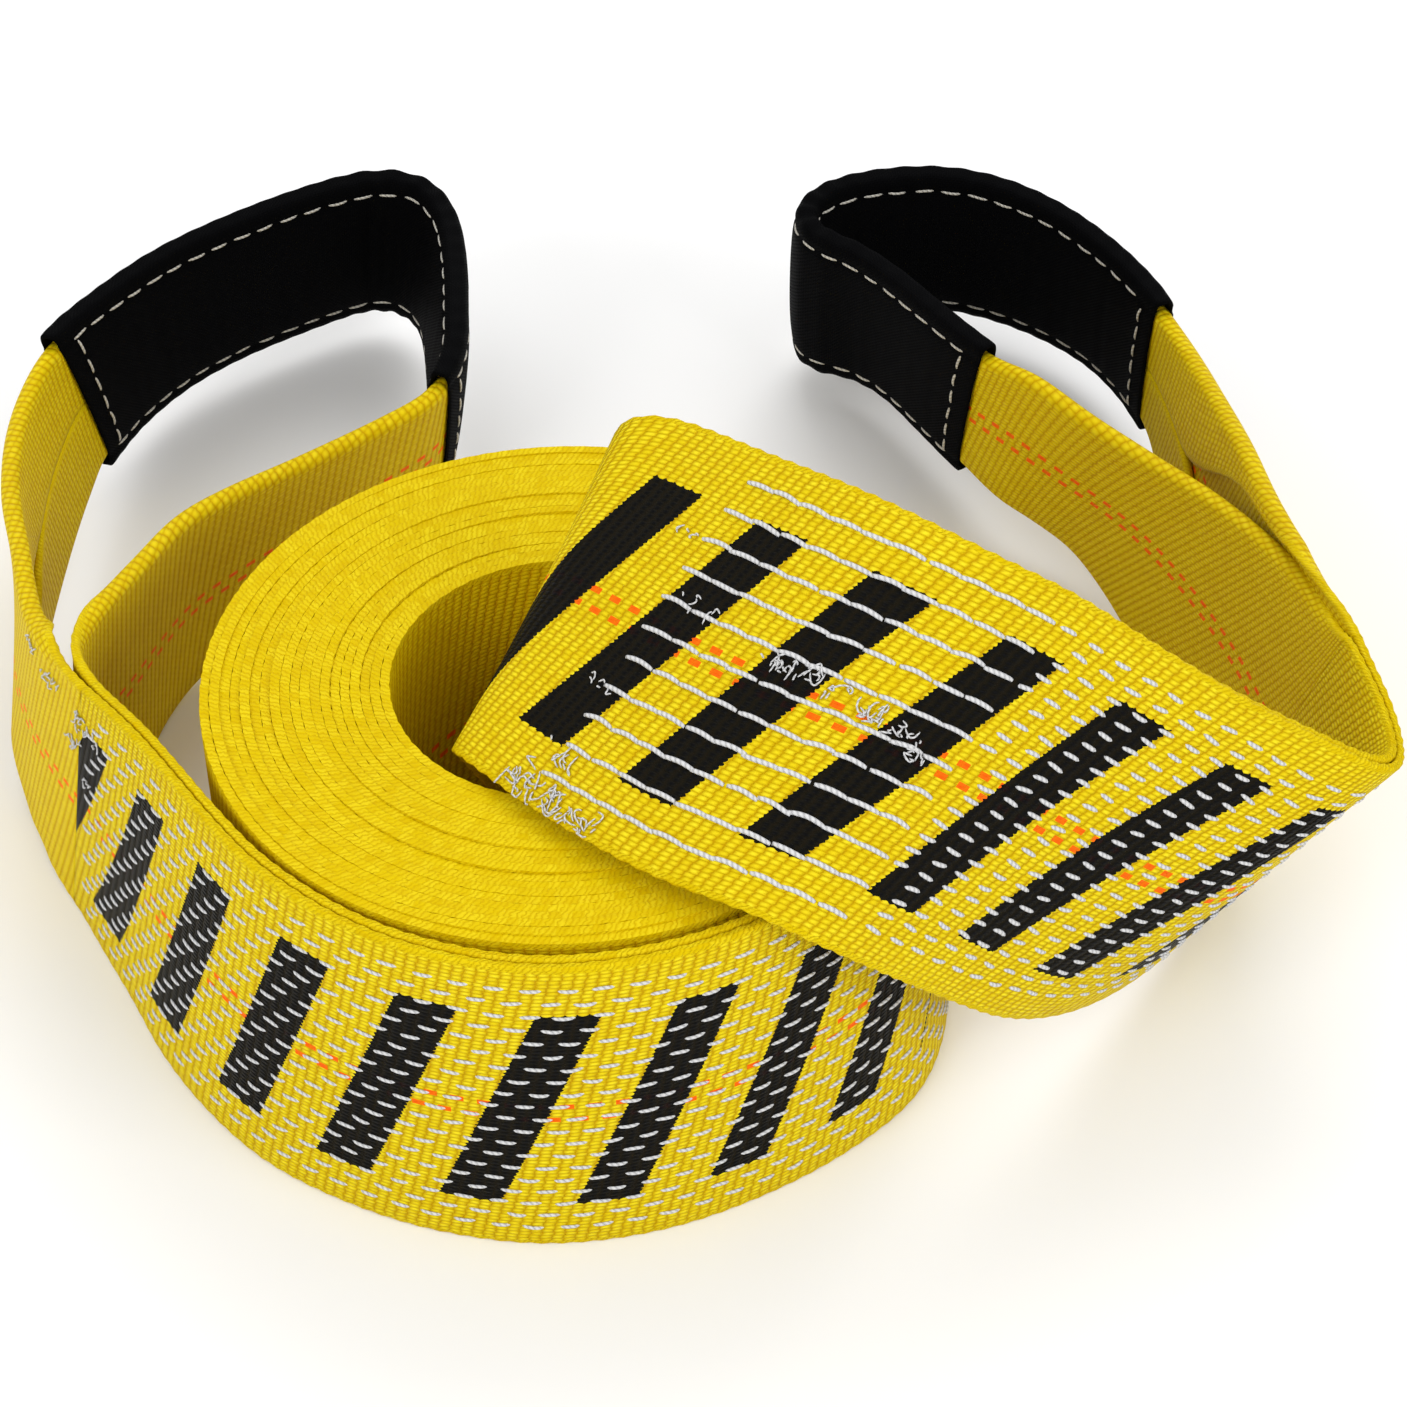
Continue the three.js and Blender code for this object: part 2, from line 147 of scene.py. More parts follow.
class Shader:
    def __init__(self, name):
        self.material = bpy.data.materials.new(name)
        self.material.use_nodes = True
        self.tree = self.material.node_tree
        self.tree.nodes.clear()

    def node(self, kind, settings={}, inputs={}, output=0):
        made = self.tree.nodes.new("ShaderNode" + kind)
        for key, value in settings.items():
            setattr(made, key, value)
        for key, value in inputs.items():
            if isinstance(value, Amount):
                self.tree.links.new(value.socket, made.inputs[key])
            else:
                made.inputs[key].default_value = value
        return Amount(self, made.outputs[output]) if made.outputs else made

    def maths(self, operation, *values):
        return self.node("Math", {"operation": operation}, dict(enumerate(values)))

    def mix(self, share, first, second):
        return self.node("Mix", {"data_type": "RGBA"}, {0: share, 6: first, 7: second}, 2)

    def onCloth(self):
        # distances along and across the cloth, in millimetres
        uv = self.node("UVMap", {"uv_map": "cloth"})
        along = self.node("SeparateXYZ", {}, {0: uv})
        return along, Amount(self, along.socket.node.outputs[1])

    def spot(self, x, y, z=0.0):
        return self.node("CombineXYZ", {}, {0: x, 1: y, 2: z})

    def noise(self, vector, detail, scale=1.0):
        return self.node("TexNoise", {}, {"Vector": vector, "Scale": scale, "Detail": detail})

    def surface(self, colour, roughness, height, relief, **fixed):
        bump = self.node("Bump", {}, {"Strength": 1.0, "Distance": relief, "Height": height})
        inputs = {"Base Color": colour, "Roughness": roughness, "Normal": bump}
        inputs.update({name.replace("_", " "): value for name, value in fixed.items()})
        skin = self.node("BsdfPrincipled", {}, inputs)
        self.node("OutputMaterial", {}, {"Surface": skin})
        return self.material


# Curves and meshes.

def unit(v):
    return v / np.maximum(np.linalg.norm(v, axis=-1, keepdims=True), 1e-9)


def smooth(x, low, high):
    t = np.clip((np.asarray(x, float) - low) / (high - low), 0, 1)
    return t * t * (3 - 2 * t)


def throughRows(rows, s):
    # Catmull-Rom curve: a cubic in the fraction between two rows, steered by the rows either side.
    rows = np.asarray(rows, float)
    padded = np.vstack([2 * rows[0] - rows[1], rows, 2 * rows[-1] - rows[-2]])
    i = np.clip(np.floor(s).astype(int), 0, len(rows) - 2)
    f = (s - i)[:, None]
    a, b, c, d = padded[i], padded[i + 1], padded[i + 2], padded[i + 3]
    square, cube = 2 * a - 5 * b + 4 * c - d, 3 * b - a - 3 * c + d
    return 0.5 * (2 * b + (c - a) * f + square * f**2 + cube * f**3)


def softened(values, spread):
    # Gaussian average along the first axis; both ends are carried on straight.
    n = int(spread * 3) + 1
    weights = np.exp(-0.5 * (np.arange(-n, n + 1) / spread) ** 2)
    weights /= weights.sum()
    head = 2 * values[0] - values[n:0:-1]
    tail = 2 * values[-1] - values[-2:-n - 2:-1]
    longer = np.concatenate([head, values, tail])
    columns = [np.convolve(longer[:, k], weights, "valid") for k in range(values.shape[1])]
    return np.stack(columns, 1)


def course(rows, fromRow=0.0, toRow=None):
    # Dense rows: bottom, top and thickness.
    last = len(rows) - 1 if toRow is None else toRow
    s = np.linspace(fromRow, last, int((last - fromRow) * 40) + 1)
    return throughRows(rows, s)


def sideways(path, offset):
    # The same course moved along its face's normal.
    bottom, top = path[:, 0:3], path[:, 3:6]
    along = unit(np.gradient((bottom + top) / 2, axis=0))
    face = unit(np.cross(along, unit(top - bottom)))
    moved = path.copy()
    moved[:, 0:3] += face * offset[:, None]
    moved[:, 3:6] += face * offset[:, None]
    return moved


def evenly(path, step):
    # Rows a fixed distance apart along the centre line, then softened over three of them.
    centre = (path[:, 0:3] + path[:, 3:6]) / 2
    run = np.concatenate([[0], np.cumsum(np.linalg.norm(np.diff(centre, axis=0), axis=1))])
    keep = np.concatenate([[True], np.diff(run) > 1e-6])
    path, run = path[keep], run[keep]
    d = np.arange(0, run[-1] + step * 0.5, step)
    even = np.column_stack([np.interp(d, run, path[:, k]) for k in range(path.shape[1])])
    even[:, :7] = softened(even[:, :7], 3.0)
    return even, d


def strand(path, distance):
    # Frames of a strip: centre, along, across, outside (the printed side), half width and part.
    bottom, top = path[:, 0:3], path[:, 3:6]
    centre = (bottom + top) / 2
    across = unit(top - bottom)
    along = unit(np.gradient(centre, axis=0))
    outside = -unit(np.cross(along, across))
    return {
        "centre": centre, "across": across, "outside": outside, "along": along,
        "half": np.linalg.norm(top - bottom, axis=1) / 2,
        "distance": distance, "part": path[:, 7],
    }


def stretch(strip, keep):
    return {key: value[keep] for key, value in strip.items()}


def laidOut(strip, a, b):
    # Points a across and b outwards of the strip's centre line.
    sideStep = strip["across"][:, None] * a[..., None]
    return strip["centre"][:, None] + sideStep + strip["outside"][:, None] * b[..., None]


def newObject(name, points, faces, uvs, material):
    # points in millimetres, none below the floor; uvs one pair per face corner
    points = np.column_stack([points[:, :2], np.maximum(points[:, 2], 0.0)])
    mesh = bpy.data.meshes.new(name)
    mesh.from_pydata(((points + shift) * 0.001), [], faces)
    layer = mesh.uv_layers.new(name="cloth")
    layer.data.foreach_set("uv", np.asarray(uvs, np.float32).ravel())
    mesh.polygons.foreach_set("use_smooth", np.ones(len(mesh.polygons), bool))
    mesh.materials.append(material)
    mesh.update()
    made = bpy.data.objects.new(name, mesh)
    bpy.context.scene.collection.objects.link(made)
    return made


def tubeFaces(rows, around):
    # Quads of a closed outline carried along.
    i = np.arange(rows - 1)[:, None]
    j = np.arange(around)[None, :]
    k = (j + 1) % around
    a, b = i * around + j, i * around + k
    return np.stack([a, b, b + around, a + around], -1).reshape(-1, 4)


def capFaces(rows, around):
    # Ladder of quads between opposite outline points, at both ends.
    i = np.arange(around // 2 - 1)
    near = np.stack([i + 1, i, around - 1 - i, around - 2 - i], -1)
    far = near[:, ::-1] + (rows - 1) * around
    return np.vstack([near, far])


def gridCorners(u, v):
    # UV of each corner of the tube's quads: u per row, v per outline place and once more for the first
    u = np.repeat(u[:, None], v.shape[-1], 1)
    corner = np.stack([u, np.broadcast_to(v, u.shape)], -1)
    quads = [corner[:-1, :-1], corner[:-1, 1:], corner[1:, 1:], corner[1:, :-1]]
    return np.stack(quads, 2).reshape(-1, 4, 2)


def pointingOut(points, faces):
    # Signed volume of the shell from its quads; negative means it is inside out.
    a, b, c, d = (points[faces[:, k]] for k in range(4))
    volume = (np.cross(a, b) * c).sum() + (np.cross(a, c) * d).sum()
    return volume > 0


class Build:
    # Collects shells of quads into one mesh.
    def __init__(self):
        self.points, self.faces, self.corners, self.count = [], [], [], 0

    def shell(self, grid, u, v):
        # a closed outline carried along and capped at both ends
        rows, around = grid.shape[:2]
        points = grid.reshape(-1, 3)
        ends = capFaces(rows, around)
        own = np.stack(np.broadcast_arrays(np.repeat(u[:, None], around, 1), v[..., :around]), -1)
        faces = np.vstack([tubeFaces(rows, around), ends])
        corners = np.vstack([gridCorners(u, v), own.reshape(-1, 2)[ends]])
        if not pointingOut(points, faces):
            faces, corners = faces[:, ::-1], corners[:, ::-1]
        self.points.append(points)
        self.faces.append(faces + self.count)
        self.corners.append(corners)
        self.count += len(points)

    def done(self, name, material):
        faces = np.vstack(self.faces)
        return newObject(name, np.vstack(self.points), faces.tolist(), np.vstack(self.corners), material)


def foldedSection(strip, places, foldAngle):
    # Middle line of the webbing across its width: sideways, outwards, turn and own place for each place -1..1.
    # Flat to v0, then turning through foldAngle over the bend, then straight: the width stays 76 mm.
    full, bend = webbing["width"] / 2, webbing["foldBend"]
    half = strip["half"][:, None]
    radius = bend / np.pi
    v0 = np.clip(half - (radius + webbing["ply"] / 2) * (foldAngle[:, None] / np.pi), 0, full - bend - 0.4)
    q = np.abs(places)[None, :]
    flap = full - v0 - bend
    turning = np.where(q < 0.7, v0 + bend * (q - 0.5) / 0.2, v0 + bend + flap * (q - 0.7) / 0.3)
    v = np.where(q < 0.5, v0 * q / 0.5, turning)
    angle = np.maximum(foldAngle[:, None], 1e-4)
    turn = np.clip((v - v0) / bend, 0, 1) * angle
    r = bend / angle
    # once they lie flat and the leg narrows, the flaps are drawn out until they meet in the middle
    closing = (smooth(full - strip["half"], 5, 15) * smooth(foldAngle, 2.6, 3.1))[:, None]
    past = np.maximum(v - v0 - bend, 0) * (1 + closing * (v0 / np.maximum(flap, 1.0) - 1))
    side = np.minimum(v, v0) + r * np.sin(turn) + past * np.cos(angle)
    side = np.where(v > v0 + bend, np.maximum(side, 0.12 * (foldAngle[:, None] > 1.6)), side)
    inward = r * (1 - np.cos(turn)) + past * np.sin(angle)
    flat = smooth(foldAngle, 0, 1.2)[:, None]
    side = side * (flat + (1 - flat) * half / full)
    return np.sign(places) * side, -inward, np.sign(places) * turn, np.sign(places) * v


def placesAcross(folded):
    # Where the section has points, -1..1: close together at the bends and the selvedges.
    edge = 1 - np.array([0.0, 0.02, 0.06, 0.12]) * (1.0 if folded else 0.16)
    if folded:
        inner = [np.linspace(0, 0.5, 7), np.linspace(0.5, 0.7, 7)[1:], np.linspace(0.7, 0.84, 5)[1:]]
        half = np.concatenate(inner + [edge[::-1]])
    else:
        half = np.concatenate([[0, 0.25, 0.5, 0.7, 0.85], edge[::-1]])
    return np.concatenate([-half[:0:-1], half])


def plyShell(build, strip, foldAngle=None, folded=False):
    # Webbing of one ply: its middle line thickened both ways, thinner at the rounded selvedges.
    n = len(strip["half"])
    places = placesAcross(folded)
    angle = np.zeros(n) if foldAngle is None else foldAngle
    side, out, turn, v = foldedSection(strip, places, angle)
    full = webbing["width"] / 2
    u = strip["distance"]
    beat = np.sin(np.pi * u / webbing["scallop"]) ** 2
    inset = np.clip((full - np.abs(v)) / webbing["selvedge"], 0, 1)
    slim = 0.35 + 0.5 * smooth(angle, 1.6, 2.9)[:, None]
    rounded = slim + (1 - slim) * np.sqrt(1 - (1 - inset) ** 2)
    half = webbing["ply"] / 2 * rounded * (1 - 0.1 * (1 - inset) * (1 - beat)[:, None])
    swell = webbing["scallopDepth"] * (beat - 0.6) * (1 - smooth(angle, 0.5, 2))
    bulge = swell[:, None] * (1 - np.clip((full - np.abs(v)) / 1.6, 0, 1))
    side = side + np.sign(places) * np.cos(turn) * bulge
    out = out - np.sign(places) * np.sin(turn) * bulge
    # outward normal of the middle line: (sin turn, cos turn) on the printed side
    grid = []
    for sign in (1, -1):
        a = side + sign * half * np.sin(turn)
        b = out + sign * half * np.cos(turn)
        face = laidOut(strip, a, b)
        grid.append(face if sign > 0 else face[:, ::-1])
    outline = [v + full, 2 * full + 1 + (full - v[:, ::-1]), np.full((n, 1), 4 * full + 2)]
    build.shell(np.concatenate(grid, 1), u, np.concatenate(outline, 1))


def onStrip(strip, u, v, lift):
    # Point on the printed face at distance u along and v across, raised by lift.
    d = strip["distance"]
    pick = lambda key: np.stack([np.interp(u, d, strip[key][:, k]) for k in range(3)], -1)
    half = np.interp(u, d, strip["half"])
    across, outside = unit(pick("across")), unit(pick("outside"))
    side = v * np.minimum(half / (webbing["width"] / 2), 1)
    place = pick("centre") + across * side[..., None] + outside * (lift + webbing["ply"] / 2)[..., None]
    return place, outside


def threads(build, lines, normals, thick, ends, flat=0.62):
    # Many thin tubes at once: an ellipse of six points carried along each line, slimmer towards its ends.
    count, rows = lines.shape[:2]
    along = unit(np.gradient(lines, axis=1))
    side = unit(np.cross(along, normals))
    up = unit(np.cross(side, along))
    t = np.linspace(-1, 1, rows)
    girth = thick / 2 * (ends + (1 - ends) * np.sqrt(1 - np.abs(t) ** 3 * 0.999))
    angle = np.arange(6) * np.pi / 3
    ring = side[:, :, None] * np.cos(angle)[:, None] + up[:, :, None] * (flat * np.sin(angle))[:, None]
    grid = lines[:, :, None] + ring * girth[None, :, None, None]
    faces = np.vstack([tubeFaces(rows, 6), capFaces(rows, 6)])
    steps = np.linalg.norm(np.diff(lines, axis=1), axis=2)
    run = np.concatenate([np.zeros((count, 1)), np.cumsum(steps, axis=1)], 1)
    u = np.repeat(run[:, :, None], 6, 2).reshape(count, -1)
    v = np.tile(np.arange(6) / 6.0, (count, rows, 1)).reshape(count, -1)
    corner = np.stack([u, v], -1)[:, faces]
    wrap = (faces % 6 == 0) & ((faces % 6).max(1, keepdims=True) == 5)
    corner[..., 1] += wrap[None]
    first = grid[0].reshape(-1, 3)
    if not pointingOut(first - first.mean(0), faces):
        faces, corner = faces[:, ::-1], corner[:, :, ::-1]
    offsets = (np.arange(count) * rows * 6)[:, None, None]
    build.points.append(grid.reshape(-1, 3))
    build.faces.append((faces[None] + offsets).reshape(-1, 4) + build.count)
    build.corners.append(corner.reshape(-1, 4, 2))
    build.count += grid.size // 3


def alongLine(line, normal, d):
    # Places and normals at distances d along a polyline.
    run = np.concatenate([[0], np.cumsum(np.linalg.norm(np.diff(line, axis=0), axis=1))])
    place = np.stack([np.interp(d, run, line[:, k]) for k in range(3)], -1)
    up = unit(np.stack([np.interp(d, run, normal[:, k]) for k in range(3)], -1))
    return place, up


def seam(build, line, normal, stitch, first, drift=0.0):
    # A row of stitches: each rises out of the cloth, runs along it and dives in again.
    length = np.linalg.norm(np.diff(line, axis=0), axis=1).sum()
    starts = np.arange(first, length - stitch["dash"] * 0.8, stitch["pitch"])
    if len(starts) == 0:
        return
    starts = starts + rng.normal(0, 0.12, len(starts))
    t = np.linspace(0, 1, 7)
    size = stitch["dash"] * rng.uniform(0.9, 1.08, len(starts))
    place, up = alongLine(line, normal, starts[:, None] + t[None] * size[:, None])
    lift = stitch["thick"] * (stitch["rise"] * np.sin(np.pi * t) ** 0.6 - stitch["sink"])
    side = unit(np.cross(np.gradient(place, axis=1), up))
    bow, tilt = rng.normal(0, 0.14, (len(starts), 1)) + drift, rng.normal(0, 0.1, (len(starts), 1))
    sway = bow * np.sin(np.pi * t) + tilt * np.cos(np.pi * t)
    lines = place + up * lift[None, :, None] + side * sway[..., None]
    threads(build, lines, up, stitch["thick"], stitch["ends"])


# The webbing's own line: rows of bottom x, y, z, top x, y, z and thickness.

def wrapRow(angle, bottomRadius, topRadius, thickness):
    a = math.radians(angle)
    x, y = rollAxis
    return [x + bottomRadius * math.cos(a), y + bottomRadius * math.sin(a), 0,
            x + topRadius * math.cos(a), y + topRadius * math.sin(a), 76, thickness]


outerRunRows = [
    wrapRow(64, 66.9, 66.9, 1.9),
    wrapRow(52, 67.6, 67.6, 1.9),
    wrapRow(40, 68.4, 68.3, 1.9),
    wrapRow(27, 69.6, 69.2, 1.9),
    wrapRow(14, 70.8, 69.9, 2.0),
    wrapRow(0, 72.8, 70.8, 3.0),
    wrapRow(-14, 74.6, 71.5, 3.9),
    wrapRow(-28, 75.4, 72.0, 3.9),
    wrapRow(-42, 72.7, 71.0, 3.9),
    wrapRow(-58, 70.5, 70.3, 3.9),
    wrapRow(-75, 70.4, 70.5, 3.9),
    wrapRow(-92, 71.2, 70.9, 3.9),
    wrapRow(-108, 71.9, 70.3, 3.9),
    wrapRow(-122, 73.4, 69.9, 3.9),
    [-56.5, -53.4, 0, -52.8, -48.2, 76, 3.9],
    [-69.3, -40.8, 0, -62.8, -36.1, 76, 3.9],
    [-79.5, -26.8, 0, -71.3, -24.0, 75.6, 3.9],
    [-86.9, -13.0, 0, -77.8, -15.0, 75.3, 3.9],
    [-94.6, 0.4, 0, -83.6, -7.8, 74.8, 3.9],
    [-101.6, 13.2, 0, -88.8, -1.2, 73.7, 3.9],
]

leftEyeRows = [
    [-103.0, 12.8, 0, -90.2, -1.4, 73.7, 1.9],
    [-110.0, 25.0, 1.0, -96.0, 7.6, 72.0, 2.1],
    [-115.4, 38.0, 3.0, -102.6, 19.0, 68.9, 2.5],
    [-120.8, 55.0, 6.0, -107.5, 34.0, 66.0, 3.0],
    [-119.8, 74.0, 9.0, -112.1, 52.0, 62.5, 3.5],
    [-118.0, 93.0, 11.5, -117.7, 73.0, 58.4, 4.1],
    [-116.6, 111.0, 12.5, -121.2, 95.0, 54.5, 4.1],
    [-115.1, 127.5, 12.5, -121.6, 115.4, 51.5, 4.1],
    [-113.2, 140.9, 12.7, -118.6, 133.1, 50.0, 4.1],
    [-107.8, 156.4, 12.2, -109.9, 148.8, 49.6, 4.1],
    [-98.4, 171.2, 12.2, -98.7, 163.6, 49.6, 4.1],
    [-86.2, 183.3, 12.2, -85.3, 175.7, 49.6, 4.1],
    [-71.2, 194.1, 12.2, -69.6, 186.7, 49.6, 4.1],
    [-58.6, 201.6, 12.3, -55.4, 194.2, 49.4, 4.1],
    [-50.9, 202.1, 12.3, -46.1, 194.9, 49.3, 4.1],
    [-44.4, 197.2, 12.4, -38.9, 190.0, 49.3, 4.1],
    [-40.2, 187.4, 12.5, -34.1, 179.0, 49.2, 4.1],
    [-38.0, 172.0, 12.6, -31.7, 163.6, 49.0, 4.1],
    [-36.6, 156.0, 12.6, -30.6, 148.0, 49.0, 4.1],
    [-35.4, 140.0, 12.6, -30.1, 131.6, 49.2, 4.1],
    [-37.8, 126.0, 12.4, -33.7, 117.6, 49.8, 4.1],
    [-46.6, 116.0, 11.5, -43.1, 106.4, 51.0, 4.0],
    [-63.0, 99.8, 8.0, -59.4, 87.4, 55.2, 3.6],
    [-77.8, 86.4, 4.0, -71.4, 73.1, 59.1, 3.2],
    [-86.2, 77.0, 2.0, -79.9, 60.4, 62.2, 2.8],
    [-91.4, 66.0, 0.8, -85.4, 45.6, 64.8, 2.5],
    [-94.6, 54.0, 0.3, -89.6, 32.1, 67.9, 2.2],
    [-100.3, 40.6, 0.1, -92.8, 19.2, 71.1, 2.0],
    [-103.6, 27.0, 0, -93.3, 9.0, 73.3, 1.9],
    [-101.0, 13.9, 0, -88.4, -0.1, 73.7, 1.9],
]

innerRunRows = [
    [-7.1, -32.6, 0, -7.1, -32.6, 76, 1.9],
    [6.7, -31.1, 0.1, 6.7, -31.1, 76, 1.9],
    [17.7, -23.5, 0.2, 17.7, -23.5, 76, 1.9],
    [23.6, -14.0, 0.3, 23.6, -14.0, 76.0, 1.9],
    [27.0, 2.0, 0.3, 27.0, 2.0, 76.0, 1.9],
    [22.6, 16.6, 0.8, 22.6, 16.6, 76.5, 1.9],
    [9.6, 24.6, 5.0, 13.6, 26.2, 80.5, 1.9],
    [-4.0, 18.6, 16.0, 8.8, 26.5, 90.1, 1.9],
    [-13.0, 5.0, 35.0, 8.0, 25.2, 102.1, 1.9],
    [-18.0, -7.4, 57.0, 8.6, 24.6, 111.6, 1.9],
    [-20.4, -16.6, 71.5, 12.4, 24.6, 117.4, 1.9],
    [-19.6, -22.4, 77.0, 20.9, 21.4, 119.0, 1.9],
    [-4.6, -38.0, 78.4, 38.1, 6.0, 123.0, 2.4],
    [14.0, -53.6, 79.6, 55.4, -7.4, 124.9, 3.4],
    [33.0, -63.8, 79.6, 75.6, -16.9, 119.8, 3.9],
    [45.4, -65.6, 73.2, 89.0, -17.8, 112.2, 3.9],
    [57.2, -61.0, 61.0, 103.6, -18.6, 101.5, 3.9],
    [68.0, -53.6, 47.0, 120.6, -19.6, 89.4, 3.9],
    [79.2, -45.2, 32.8, 136.6, -19.4, 78.8, 3.9],
    [90.4, -33.9, 20.6, 146.6, -20.3, 73.6, 3.9],
    [102.2, -21.0, 11.6, 151.3, -17.5, 71.2, 3.9],
    [114.0, -6.7, 5.6, 152.6, -11.1, 70.5, 3.9],
    [123.7, 7.1, 2.6, 151.4, -2.5, 72.0, 3.9],
    [130.6, 19.4, 1.0, 149.0, 5.4, 73.8, 3.9],
    [133.8, 28.4, 0.6, 147.4, 11.6, 74.6, 3.9],
]

rightEyeRows = [
    [132.6, 28.4, 0.6, 146.2, 11.6, 74.6, 1.9],
    [130.2, 44.0, 0.8, 145.2, 18.0, 71.8, 1.9],
    [126.6, 62.0, 2.2, 142.4, 32.6, 68.8, 2.2],
    [120.8, 81.0, 4.4, 137.4, 51.0, 64.2, 2.7],
    [114.6, 98.4, 7.2, 128.8, 71.8, 58.8, 3.2],
    [107.8, 111.6, 9.8, 118.8, 89.0, 54.4, 3.7],
    [99.8, 119.6, 11.6, 106.8, 104.6, 53.2, 4.1],
    [92.0, 126.2, 12.8, 96.1, 118.8, 53.0, 4.1],
    [84.6, 139.2, 12.8, 86.8, 129.5, 50.2, 4.1],
    [76.2, 153.8, 12.8, 76.8, 143.3, 49.9, 4.1],
    [68.2, 166.9, 12.8, 67.8, 156.5, 49.9, 4.1],
    [59.8, 174.8, 12.8, 59.0, 166.2, 49.9, 4.1],
    [52.3, 177.5, 12.8, 51.7, 171.0, 49.9, 4.1],
    [48.7, 182.2, 12.8, 48.4, 176.4, 49.9, 4.1],
    [49.1, 190.4, 12.8, 48.9, 183.4, 49.9, 4.1],
    [54.2, 197.0, 12.8, 54.2, 189.8, 49.9, 4.1],
    [65.4, 201.6, 12.8, 65.4, 194.4, 49.9, 4.1],
    [80.0, 202.8, 12.8, 80.0, 195.6, 49.9, 4.1],
    [94.0, 198.3, 12.8, 93.6, 191.1, 49.9, 4.1],
    [106.8, 189.8, 12.8, 105.8, 181.6, 49.9, 4.1],
    [117.4, 178.4, 12.8, 115.8, 169.0, 49.9, 4.1],
    [124.8, 164.3, 12.8, 123.5, 154.9, 49.9, 4.1],
    [128.6, 149.6, 12.6, 128.2, 141.0, 50.6, 4.1],
    [130.2, 134.2, 11.0, 131.6, 124.6, 53.8, 3.8],
    [131.6, 117.0, 7.8, 134.2, 105.6, 58.4, 3.4],
    [133.6, 98.0, 4.6, 137.0, 83.6, 63.5, 3.0],
    [135.6, 78.0, 2.4, 139.4, 61.0, 67.6, 2.6],
    [136.6, 60.0, 1.0, 142.9, 40.6, 71.0, 2.2],
    [136.4, 43.0, 0.8, 146.2, 23.0, 73.4, 1.9],
    [135.0, 28.4, 0.6, 148.6, 11.6, 74.6, 1.9],
]


def plied(rows, side, part, fromRow=0.0):
    # One of the two plies of a run, half the spare thickness to its side.
    # Part 0 lies before the eye, 1 is the eye and 2 lies after it.
    path = course(rows, fromRow)
    path = sideways(path, side * np.maximum(path[:, 6] - webbing["ply"], 0) / 2)
    return np.column_stack([path, np.full(len(path), float(part))])


def eyePly(rows):
    # In an eye the outside ply is the one that is followed; the folded edges lie behind it.
    path = course(rows)
    path = sideways(path, -np.maximum(path[:, 6] - webbing["ply"], 0) / 2)
    return np.column_stack([path, np.full(len(path), 1.0)])


def joined(pieces):
    path = np.vstack(pieces)
    return strand(*evenly(path, webbing["step"]))


leftStrip = joined([
    plied(outerRunRows, -1, 0),
    eyePly(leftEyeRows),
    plied(outerRunRows, 1, 2, 5.4)[::-1],  # the doubled ply ends at row 5.4
])
rightStrip = joined([
    plied(innerRunRows, -1, 0, 12.7),  # and here at row 12.7
    eyePly(rightEyeRows),
    plied(innerRunRows, 1, 2)[::-1],
])


def foldAngleOf(strip):
    # No fold in the runs; the selvedges turn over within a few centimetres of the eye's start.
    d = strip["distance"]
    eye = d[(strip["part"] > 0.5) & (strip["part"] < 1.5)]
    near = np.minimum(d - eye[0], eye[-1] - d)
    return np.pi * smooth(near, webbing["foldFrom"], webbing["foldTo"])


leftFold, rightFold = foldAngleOf(leftStrip), foldAngleOf(rightStrip)
stripLengths = [round(float(strip["distance"][-1])) for strip in (leftStrip, rightStrip)]
print("webbing laid out, in mm:", stripLengths)


# Finishes.

cloth = {
    # the yellow: bright on the crowns; the next colour is painted shade for the grooves between ribs and
    # yarns, which random streaks of darker tone also reach
    "bright": (0.66, 0.485, 0, 1),
    "grooveShadeAndTone": (0.46, 0.235, 0, 1),
    # the lighter yellow of the painted highlight on the crown of each bead
    "beadHighlight": (0.86, 0.72, 0.02, 1),
    "tracer": (0.92, 0.125, 0.004, 1),
    "ink": (0.0035, 0.0035, 0.004, 1),
    "threadLight": (0.70, 0.70, 0.70, 1),
    "threadDark": (0.40, 0.40, 0.41, 1),
    "seamLight": (0.66, 0.64, 0.58, 1),
    "seamDark": (0.32, 0.30, 0.26, 1),
    "sleeveLight": (0.0018, 0.0019, 0.0024, 1),
    "sleeveDark": (0.0003, 0.0003, 0.0004, 1),
    "sleeveYarn": 0.55,
    "slant": 0.2,
    "tracerPlace": 1.75,
    "tracerWidth": 1.24,
    "tracerBeat": 4.9,
    "barPitch": 25.0,
    "barWidth": 11.5,
    "barHeight": 52.0,
    "barLean": 0.375,
    "outerPrint": (104, 330),
    "innerPrint": (560, 826),
}


